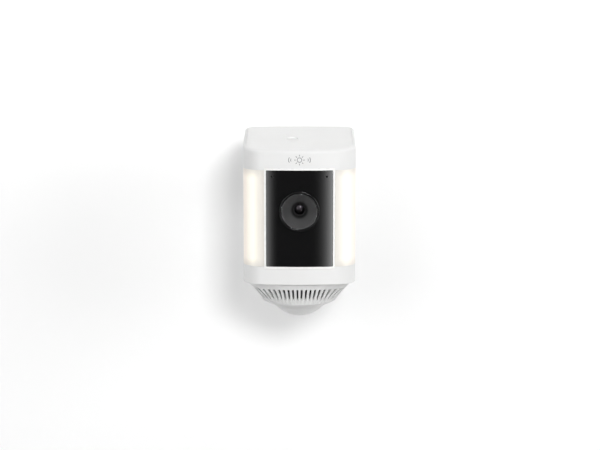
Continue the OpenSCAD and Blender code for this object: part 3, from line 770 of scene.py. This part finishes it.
def rear_openings():
    """What is cut from it: the port, the latch's pocket, and bores for insert, jack, screws and hinge pin."""
    left, right = PORT_X - PORT_HALF_W, PORT_X + PORT_HALF_W
    openings = [rod(out_of_back(0, BOSS_H), INSERT_R, INSIDE_D, OUTSIDE_D),
                block((left, PORT_FLOOR, PORT_LOW), (right, OUTSIDE_D, PORT_HIGH)),
                rod(out_of_back(PORT_X, PORT_H), JACK_R, INSIDE_D, PORT_FLOOR + 0.5),
                block((-POCKET_HALF, POCKET_D[0], DOOR_HIGH - 0.3),
                      (POCKET_HALF, POCKET_D[1], DOOR_HIGH + 2.4))]
    for sign in (-1, 1):
        for height in SCREW_HEIGHTS:
            place = out_of_back(sign * SCREW_X, height)
            openings.append(rod(place, SCREW_HEAD_R, SCREW_SEAT_D, OUTSIDE_D))
            openings.append(rod(place, SCREW_HOLE_R, INSIDE_D, SCREW_SEAT_D + 0.5))
    openings.append(rod(along_pin, PIN_HOLE_R, -PIN_REACH, PIN_REACH, 32))
    return openings


rear_rows = wall_rows([30.0, DOOR_LOW, 46, 60, DOOR_HIGH, 88, 104, 116])
rear_shell = facing_out(wall_skin("rear_shell", REAR_COLUMNS, rear_rows, rear_open), HEAD_MIDDLE)
applied(thickened(rear_shell, SHELL_T))
for solid in rear_solids():
    cut(rear_shell, solid, "UNION")
for solid in rear_openings():
    cut(rear_shell, solid)
softened(rear_shell, 0.22, angle=45)
finished(rear_shell, "white_plastic", "rear_housing")


# ---------- Top ----------

def lid_rings():
    """Rings from the lid's underside round its rim and in to the button's hole, all with the same count."""
    inset = LID_BORDER + LID_GAP
    hole_r = BUTTON_R + BUTTON_GAP

    def outer(extra, drop):
        """Round the lid's edge, moved in by extra and down by drop."""
        reach = inset + extra
        return [(x - reach * nx, d - reach * nd, drop) for x, d, nx, nd in ROUND_COLUMNS[:-1]]

    turns = [math.atan2(d - BUTTON_D, x - BUTTON_X) for x, d, _ in outer(0, 0)]

    def inner(radius, drop):
        """Round the button's hole, each point facing its own on the edge."""
        return [(BUTTON_X + radius * math.cos(a), BUTTON_D + radius * math.sin(a), drop) for a in turns]

    def between(share):
        """On the lid's top, some share of the way from the hole out to the edge."""
        pairs = zip(inner(hole_r + 0.3, 0), outer(0.25, 0))
        return [(x0 + (x1 - x0) * share, d0 + (d1 - d0) * share, 0) for (x0, d0, _), (x1, d1, _) in pairs]

    rings = [outer(0, LID_T), outer(0, 0.25), outer(0.07, 0.07), outer(0.25, 0)]
    rings += [between(share) for share in (0.92, 0.6, 0.3, 0.08)]
    rings += [inner(hole_r + 0.3, 0), inner(hole_r + 0.08, 0.08), inner(hole_r, 0.3), inner(hole_r, LID_T)]
    return [[at(x, d, top_at(d) - drop) for x, d, drop in ring] for ring in rings]


lid = placed("top_cover", tidied(grid_mesh("top_cover", lid_rings(), close=True)))
finished(softened(lid, 0.05, 1, 60), "white_plastic", "top_lid")


# ---------- Face ----------

def rounded_rectangle(half_w, low, high, radius, across=20, up=24, corner=6):
    """Points (x, h) round a rectangle with rounded corners, counter-clockwise seen from the front."""
    corners = [(half_w - radius, high - radius, 0), (-half_w + radius, high - radius, 90),
               (-half_w + radius, low + radius, 180), (half_w - radius, low + radius, 270)]
    points = []
    for k, (cx, ch, start) in enumerate(corners):
        for i in range(corner + 1):
            a = math.radians(start + 90 * i / corner)
            points.append((cx + radius * math.cos(a), ch + radius * math.sin(a)))
        nx, nh, turn = corners[(k + 1) % 4]
        a = math.radians(turn)
        end = (nx + radius * math.cos(a), nh + radius * math.sin(a))
        steps = across if k % 2 == 0 else up
        x, h = points[-1]
        points += [(x + (end[0] - x) * i / steps, h + (end[1] - h) * i / steps) for i in range(1, steps)]
    return points


def panel_columns():
    """The panel as upright cross-sections from side to side, each rounded at its front edges."""
    radius, soft = 0.5, 0.15
    half = [PANEL_HALF * i / 40 for i in range(39)]
    half += [PANEL_HALF - radius * (1 - math.sin(t)) for t in quarter_turn(6)]
    columns = []
    for x in [-x for x in reversed(half[1:])] + half:
        past = max(0.0, abs(x) - (PANEL_HALF - radius))
        drop = radius - math.sqrt(radius ** 2 - past ** 2)
        low, high = PANEL_LOW + drop, PANEL_HIGH - drop
        back = face_at(x) + PANEL_T
        front = face_at(x) + (soft if abs(x) > PANEL_HALF - 0.01 else 0.0)
        section = [(back, low), (front + soft, low), (front + soft / 4, low + soft / 4), (front, low + soft)]
        section += [(front, high - soft), (front + soft / 4, high - soft / 4), (front + soft, high)]
        columns.append([at(x, d, h) for d, h in section + [(back, high)]])
    return columns


panel = placed("front_panel", capped(grid_mesh("front_panel", panel_columns())))
cut(panel, rod(out_of_face, LENS_RING_R + GAP, -THROUGH, THROUGH, 128))
mic_face = face_at(MIC_X)
mic_profile = [(AXIS_R, mic_face - 1), (MIC_R + 1.1, mic_face - 1), (MIC_R, mic_face + 0.1)]
mic_profile += [(MIC_R, 5), (AXIS_R, 5)]
for sign in (-1, 1):
    cut(panel, lathe("mic_hole", mic_profile, out_of_back(sign * MIC_X, MIC_H), 32, close=False))
finished(softened(panel, 0.05, 1, 60), "gloss_black", "face_panel")


def bezel_rings():
    """The narrow frame between the panel, the light bars and the housing, with rounded edges."""
    inner, outer = 0.03, BEZEL_W + 0.07
    section = [(inner, BEZEL_DEEP), (inner, 0.15), (0.1, -0.2), (0.28, -BEZEL_PROUD), (1.12, -BEZEL_PROUD),
               (BEZEL_W, -0.2), (outer, 0.1), (outer, BEZEL_DEEP)]
    rings = []
    for out, depth in section:
        edge = rounded_rectangle(PANEL_HALF + out, PANEL_LOW - out, PANEL_HIGH + out, 0.6 - 0.2 * out)
        rings.append([at(x, face_at(x) + depth, h) for x, h in edge])
    return rings


bezel = placed("panel_frame", tidied(grid_mesh("panel_frame", bezel_rings(), close=True)))
finished(softened(bezel, 0.03, 1, 60), BEZEL_WHITE_PAINTED_BRIGHT, "panel_bezel", slot="white_plastic")


def light_bar(name, columns, cad_node):
    """An opal bar that follows the body's outline round one front corner."""
    rows = [(0.0, h, False) for h in (PANEL_LOW - 0.05, 46, 59, 72, 85, 98, PANEL_HIGH + 0.05)]
    bar = facing_out(wall_skin(name, columns, rows, lambda x, d, h: False), HEAD_MIDDLE)
    finished(softened(thickened(bar, LIGHT_T), 0.18), "opal", cad_node)


light_bar("light_bar_right", LIGHT_COLUMNS, "right_diffuser")
light_bar("light_bar_left", mirrored(LIGHT_COLUMNS), "left_diffuser")


# ---------- Lens ----------

def ring_profile():
    """The raised ring, rounded at its outer edge and stepped down to the window."""
    profile = [(WINDOW_R + 0.1, -RING_DEEP), (LENS_RING_R, -RING_DEEP)]
    for t in quarter_turn(6):
        radius = LENS_RING_R - RIM_ROUND * (1 - math.cos(t))
        profile.append((radius, LENS_PROUD - RIM_ROUND * (1 - math.sin(t))))
    profile += [(WINDOW_R + 0.5, LENS_PROUD), (WINDOW_R + 0.3, LENS_PROUD - 0.08), (WINDOW_R + 0.1, 0.9)]
    return profile


def hood_profile():
    """The hood narrows inwards in a flat lip, two shallow steps and a long cone down to the pupil."""
    cone_r, cone_steps = WINDOW_R - 1.75, 12
    profile = [(WINDOW_R, 0.38), (WINDOW_R - 0.6, 0.38), (WINDOW_R - 0.75, 0.1), (WINDOW_R - 1.5, -0.1),
               (WINDOW_R - 1.62, -0.5)]
    for step in range(cone_steps + 1):
        share = step / cone_steps
        radius = cone_r + (PUPIL_R + 0.5 - cone_r) * share
        profile.append((radius, -0.6 - (HOOD_DEPTH - 1.0) * (0.82 * share + 0.18 * share ** 3)))
    profile += [(PUPIL_R + 0.15, 0.15 - HOOD_DEPTH), (PUPIL_R, -0.1 - HOOD_DEPTH)]
    profile += [(PUPIL_R, -0.8 - HOOD_DEPTH), (PUPIL_R + 0.8, -0.8 - HOOD_DEPTH), (WINDOW_R, -0.7)]
    return profile


def window_profile():
    """A flat disc with a fine chamfer round its front, its face in several rings."""
    edge_r = WINDOW_R - 0.02
    profile = [(AXIS_R, WINDOW_BACK), (edge_r, WINDOW_BACK), (edge_r, WINDOW_FRONT - 0.02),
               (edge_r - 0.02, WINDOW_FRONT)]
    profile += [(WINDOW_R * share, WINDOW_FRONT) for share in (0.95, 0.7, 0.4)]
    return profile + [(AXIS_R, WINDOW_FRONT)]


lens_rim = placed("lens_rim", tidied(lathe("lens_rim", ring_profile(), out_of_face, 128)))
finished(softened(lens_rim, 0.03, 1, 50), "gloss_black", "lens_ring", slot="satin_black")

hood = placed("lens_baffle", tidied(lathe("lens_baffle", hood_profile(), out_of_face, 128)))
finished(softened(hood, 0.05, 1, 50), HOOD_PAINTED_SHADE, "lens_hood", slot="dark_grey")

window_mesh = lathe("front_window", window_profile(), out_of_face, 128, close=False)
window = placed("front_window", tidied(window_mesh))
finished(softened(window, 0.03, 1, 40), "clear_glass", "lens_window")


# ---------- Underside ----------

def outline_reach(angle, inset):
    """Distance from the dome's axis to the body's outline, moved inwards by inset."""
    best = None
    loop = [(x - inset * nx, d - inset * nd - MID_D) for x, d, nx, nd in ROUND_COLUMNS[:-1]]
    c, s = math.cos(angle), math.sin(angle)
    for (x0, y0), (x1, y1) in zip(loop, loop[1:] + loop[:1]):
        ex, ey = x1 - x0, y1 - y0
        bottom = c * ey - s * ex
        if abs(bottom) < 1e-12:
            continue
        reach = (x0 * ey - y0 * ex) / bottom
        share = (x0 * s - y0 * c) / bottom
        if reach > 0 and -1e-9 <= share <= 1 + 1e-9:
            best = reach if best is None else max(best, reach)
    return best


SLOT_STEPS = (-1.0, -0.8, -0.4, 0.0, 0.4, 0.8, 1.0)
RIB_STEPS = (0.2, 0.5, 0.8)


def grille_columns():
    """Columns round the skirt: each its angle, and its place across a slot from -1 to 1, or None on a rib."""
    pitch = 2 * math.pi / SLOTS
    half = pitch * SLOT_SHARE / 2
    columns = []
    for k in range(SLOTS):
        middle = (k + 0.5) * pitch
        columns += [(middle + half * u, u) for u in SLOT_STEPS]
        columns += [(middle + half + (pitch - 2 * half) * u, None) for u in RIB_STEPS]
    return columns


def grille_mesh():
    """The slotted skirt: straight from the body's outline down to a round rim, then in to the dome."""
    columns = grille_columns()
    top_reach = [outline_reach(angle, GRILLE_INSET) for angle, _ in columns]
    heights = [SKIRT, 26.6, 25.2, 24.0, SLOT_HIGH, 21.8, 20.0, 18.2, 16.6]
    heights += [SLOT_LOW + (RIM_H - SLOT_LOW) * share for share in (0, 0.1, 0.25, 0.45, 0.65, 0.85, 1)]

    def level(h, u):
        """Slot ends are round: their edge rows bulge along the slot's middle."""
        if u is None or h not in (SLOT_HIGH, SLOT_LOW):
            return h
        bulge = SLOT_END * math.sqrt(max(0.0, 1 - u * u))
        return h + bulge if h == SLOT_HIGH else h - bulge

    flute_end = RIM_H + 0.3
    rings = []
    for h in heights:
        ring = []
        for (angle, u), reach in zip(columns, top_reach):
            z = level(h, u)
            share = (SKIRT - z) / (SKIRT - RIM_H)
            radius = reach + (RIM_R - reach) * share
            if u is not None and h < SLOT_LOW:
                fade = max(0.0, (h - flute_end) / (SLOT_LOW - flute_end))
                radius -= FLUTE_DEPTH * (1 - u * u) * fade
            ring.append(at(radius * math.cos(angle), MID_D + radius * math.sin(angle), z))
        rings.append(ring)
    for share in (0.04, 0.12, 0.3, 0.55, 0.8, 1.0):
        radius = RIM_R + (LIP_R - RIM_R) * share
        h = RIM_H + (LIP_H - RIM_H) * (1 - (1 - share) ** 1.25)
        rings.append([at(radius * math.cos(a), MID_D + radius * math.sin(a), h) for a, _ in columns])
    first, last = heights.index(SLOT_HIGH), heights.index(SLOT_LOW)

    def is_slot(c, r):
        """Whether the face between this column and row and the next lies in a slot."""
        u, v = columns[c][1], columns[(c + 1) % len(columns)][1]
        return first <= r < last and u is not None and v is not None and u < v

    return tidied(grid_mesh("slotted_grille", rings, skip=is_slot))


grille = facing_out(placed("slotted_grille", grille_mesh()), at(0, MID_D, SKIRT))
softened(thickened(grille, GRILLE_T), 0.08, 1, 50)
finished(grille, "white_plastic", "bottom_grille")


def dome_arc(radius, lean, steps):
    """Points down a dome of this radius, from its edge's lean in degrees to its lowest point."""
    points = []
    for step in range(steps, -1, -1):
        bend = math.radians(lean * step / steps)
        points.append((max(AXIS_R, radius * math.sin(bend)), DOME_H - radius * math.cos(bend)))
    return points


def dome_profile():
    """The dome's outside, the flange that holds it in the grille's lip, and its inside."""
    lean = math.degrees(math.acos((DOME_H - DOME_EDGE_H) / DOME_R))
    flange = [(17.4, 8.8), (17.4, 11.2), (20.2, 11.2), (20.2, 12.4), (16.6, 12.4), (16.6, 9.0)]
    return dome_arc(DOME_R, lean, 30)[::-1] + flange + dome_arc(DOME_R - DOME_T, lean * 0.97, 15)


dome = placed("sensor_dome", tidied(lathe("sensor_dome", dome_profile(), under_body, 128, close=False)))
finished(dome, "pir_white", "pir_dome")


# ---------- A plain pictogram where the face carries its print ----------

LINE_W = 0.42
LINE_LIFT, LINE_SUNK = 0.03, 0.05


def stroke(points):
    """A thin printed line on the bowed face, through (x, h) points."""
    left, right = [], []
    for i, (x, h) in enumerate(points):
        (x0, h0), (x1, h1) = points[max(0, i - 1)], points[min(len(points) - 1, i + 1)]
        size = math.hypot(x1 - x0, h1 - h0)
        nx, nh = -(h1 - h0) / size * LINE_W / 2, (x1 - x0) / size * LINE_W / 2
        left.append((x + nx, h + nh))
        right.append((x - nx, h - nh))
    edges = [(left, -LINE_SUNK), (left, LINE_LIFT), (right, LINE_LIFT), (right, -LINE_SUNK)]
    sides = [[at(x, face_at(x) - up, h) for x, h in row] for row, up in edges]
    return capped(grid_mesh("stroke", [list(section) for section in zip(*sides)]))


def circle_points(x, h, radius, start=0, end=360, steps=32):
    """Points round part of a circle, its angles in degrees."""
    turn = [math.radians(start + (end - start) * i / steps) for i in range(steps + 1)]
    return [(x + radius * math.cos(a), h + radius * math.sin(a)) for a in turn]


SIGN_H = 111.7
LAMP_R = 1.5
RAYS, RAY_FROM, RAY_TO = 8, 2.4, 3.5
WAVE_X, WAVE_RADII, WAVE_SWEEP = 4.2, (1.6, 3.0), 70


def sign_strokes():
    """A lamp with its rays, between two pairs of arcs."""
    strokes = [stroke(circle_points(0, SIGN_H, LAMP_R))]
    for step in range(RAYS):
        a = math.radians(360 / RAYS * step)
        strokes.append(stroke([(r * math.cos(a), SIGN_H + r * math.sin(a)) for r in (RAY_FROM, RAY_TO)]))
    for sign, middle in ((-1, 180), (1, 0)):
        for radius in WAVE_RADII:
            low, high = middle - WAVE_SWEEP / 2, middle + WAVE_SWEEP / 2
            strokes.append(stroke(circle_points(sign * WAVE_X, SIGN_H, radius, low, high, 12)))
    return strokes


printed_sign = placed("printed_sign", merged("printed_sign", sign_strokes()))
finished(printed_sign, PRINT_GREY, slot="dark_grey")


# ---------- CAD nodes that stay in sight ----------

# How far each one's edges are rounded
ROUNDED_NODES = {
    "wall_plate": 0.5, "clamp_ring": 0.35, "clamp_set_screw": 0.1, "ball_seat": 0.1, "ball_stem": 0.2,
    "mount_insert": 0.2, "housing_screws": 0.15, "setup_button": 0.2, "port_cover": 0.3, "power_jack": 0.2,
    "battery_door": 0.5, "door_latch": 0.25, "door_pin": 0.2, "battery_bay": 0.3, "battery_case": 0.6,
    "battery_tab": 0.2}
for name, width in ROUNDED_NODES.items():
    softened(frame["nodes"][name], width, angle=30, weld=True)


# ---------- Studio ----------

def backdrop(name, corners, colour, paler=0.0):
    """A matt sheet seen from its front only, and drawn paler to the camera than it lights, if need be."""
    mesh = bpy.data.meshes.new(name)
    mesh.from_pydata(corners, [], [(0, 1, 2, 3)])
    sheet = bpy.data.objects.new(name, mesh)
    bpy.context.scene.collection.objects.link(sheet)
    material, tree, shader = new_material(name)
    shader.inputs["Base Color"].default_value = (*colour, 1)
    shader.inputs["Roughness"].default_value = 0.9
    shader.inputs["Specular IOR Level"].default_value = 0.1
    if paler:
        seen = node(tree, "ShaderNodeLightPath")
        shine = node(tree, "ShaderNodeMath", operation="MULTIPLY")
        shine.inputs[1].default_value = paler
        tree.links.new(seen.outputs["Is Camera Ray"], shine.inputs[0])
        tree.links.new(shine.outputs[0], shader.inputs["Emission Strength"])
        shader.inputs["Emission Color"].default_value = (1, 1, 1, 1)
    grained(tree, shader, 700, 0.03)
    facing = node(tree, "ShaderNodeNewGeometry")
    mixed(tree, facing.outputs["Backfacing"], shader, node(tree, "ShaderNodeBsdfTransparent"))
    mesh.materials.append(material)
    sheet.visible_shadow = False
    return sheet


WALL_Y = 0.0003
FLOOR_Z = -1.2
REACH = 40.0
WALL_WHITE, FLOOR_GREY, CARD_BLACK = (0.98, 0.98, 0.98), (0.56, 0.56, 0.56), (0.004, 0.004, 0.004)
FLOOR_PALER = 0.46
SKY_LIGHT, SKY_SEEN = 0.30, 0.64

foot = [(REACH, WALL_Y, FLOOR_Z), (-REACH, WALL_Y, FLOOR_Z)]
front = [(-REACH, -REACH, FLOOR_Z), (REACH, -REACH, FLOOR_Z)]
backdrop("studio_wall", foot[::-1] + [(REACH, WALL_Y, REACH), (-REACH, WALL_Y, REACH)], WALL_WHITE)
backdrop("studio_floor", front + foot, FLOOR_GREY, FLOOR_PALER)


def direction(azimuth, elevation):
    """Out from the object, in degrees: azimuth 0 is straight out from the face, and 90 is along +X."""
    a, e = math.radians(azimuth), math.radians(elevation)
    return Vector((math.sin(a) * math.cos(e), -math.cos(a) * math.cos(e), math.sin(e)))


# What the lights and the camera aim at
TARGET = at(0.34, 34.0, 62.35)


def softbox(name, azimuth, elevation, distance, wide, high, power):
    """An area light aimed at the object, its power in watts."""
    lamp = bpy.data.lights.new(name, "AREA")
    lamp.shape = "RECTANGLE"
    lamp.size, lamp.size_y = wide, high
    lamp.energy = power
    piece = bpy.data.objects.new(name, lamp)
    piece.location = TARGET + direction(azimuth, elevation) * distance
    piece.rotation_euler = (TARGET - piece.location).to_track_quat("-Z", "Y").to_euler()
    piece.visible_camera = False
    bpy.context.scene.collection.objects.link(piece)
    return piece


def strip_light(name, azimuth, elevation, distance, wide, high, power, falloff):
    """A light for the face panel's gloss alone, which fades across its width to the studio's middle."""
    piece = softbox(name, azimuth, elevation, distance, wide, high, power)
    piece.visible_diffuse = False
    piece.data.use_nodes = True
    tree = piece.data.node_tree
    start = 0.0 if azimuth > 0 else 1.0
    where = node(tree, "ShaderNodeNewGeometry")
    split = node(tree, "ShaderNodeSeparateXYZ")
    across = node(tree, "ShaderNodeMapRange", **{"To Min": start, "To Max": 1.0 - start})
    curve = node(tree, "ShaderNodeMath", operation="POWER")
    curve.inputs[1].default_value = falloff
    tree.links.new(where.outputs["Parametric"], split.inputs["Vector"])
    tree.links.new(split.outputs["X"], across.inputs["Value"])
    tree.links.new(across.outputs["Result"], curve.inputs[0])
    tree.links.new(curve.outputs[0], tree.nodes["Emission"].inputs["Strength"])


# Name, azimuth, elevation, distance, width, height and power, and for a strip how steeply it fades
softbox("key_light", 10, 20, 1.6, 0.34, 0.34, 12.6)
softbox("top_light", 0, 65, 1.6, 1.2, 1.2, 1.0)
softbox("right_light", 62, 13, 1.6, 0.8, 0.8, 9.2)
softbox("left_light", -35, 15, 2.0, 1.2, 1.2, 12.0)
softbox("rear_left_light", -140, 30, 1.8, 1.0, 1.0, 3.0)
softbox("rear_right_light", 140, 30, 1.8, 1.0, 1.0, 3.0)
strip_light("left_strip", -14.75, -10, 1.3, 0.239, 0.45, 5.8, 3.6)
strip_light("right_strip", 12, -10, 1.3, 0.389, 0.45, 12.6, 4.6)

# A card behind the strip lights that reflections alone see, so that the face panel stays black between them
CARD_HALF, CARD_UP = 0.6, 0.3
CARD_ELEVATION, CARD_DISTANCE = -10, 1.5
card = backdrop("black_card", [(-CARD_HALF, 0, -CARD_HALF), (CARD_HALF, 0, -CARD_HALF),
                               (CARD_HALF, 0, CARD_UP), (-CARD_HALF, 0, CARD_UP)], CARD_BLACK)
card.location = TARGET + direction(0, CARD_ELEVATION) * CARD_DISTANCE
card.rotation_euler = (math.radians(-CARD_ELEVATION), 0, math.pi)
card.visible_camera = False
card.visible_diffuse = False
card.visible_transmission = False

# The surround lights the object softly, and is drawn as a paler grey than it lights
world = bpy.data.worlds.new("studio")
world.use_nodes = True
sky = world.node_tree
sky_light = sky.nodes["Background"]
sky_light.inputs["Color"].default_value = (1, 1, 1, 1)
sky_light.inputs["Strength"].default_value = SKY_LIGHT
sky_seen = node(sky, "ShaderNodeBackground", Color=(1, 1, 1, 1), Strength=SKY_SEEN)
camera_ray = node(sky, "ShaderNodeLightPath").outputs["Is Camera Ray"]
mixed(sky, camera_ray, sky_light, sky_seen, "World Output")
bpy.context.scene.world = world
bpy.context.scene.view_settings.view_transform = "Standard"


# ---------- Camera ----------

CAMERA_DISTANCE = 1.35
CAMERA_ELEVATION = 9.9
FOCAL_LENGTH, SENSOR_WIDTH = 119.1, 36.0
lens = bpy.data.cameras.new("camera")
lens.sensor_width = SENSOR_WIDTH
lens.lens = FOCAL_LENGTH
lens.clip_start, lens.clip_end = 0.05, 50.0
camera = bpy.data.objects.new("camera", lens)
camera.location = TARGET + direction(0, CAMERA_ELEVATION) * CAMERA_DISTANCE
camera.rotation_euler = (TARGET - camera.location).to_track_quat("-Z", "Y").to_euler()
bpy.context.scene.collection.objects.link(camera)
bpy.context.scene.camera = camera
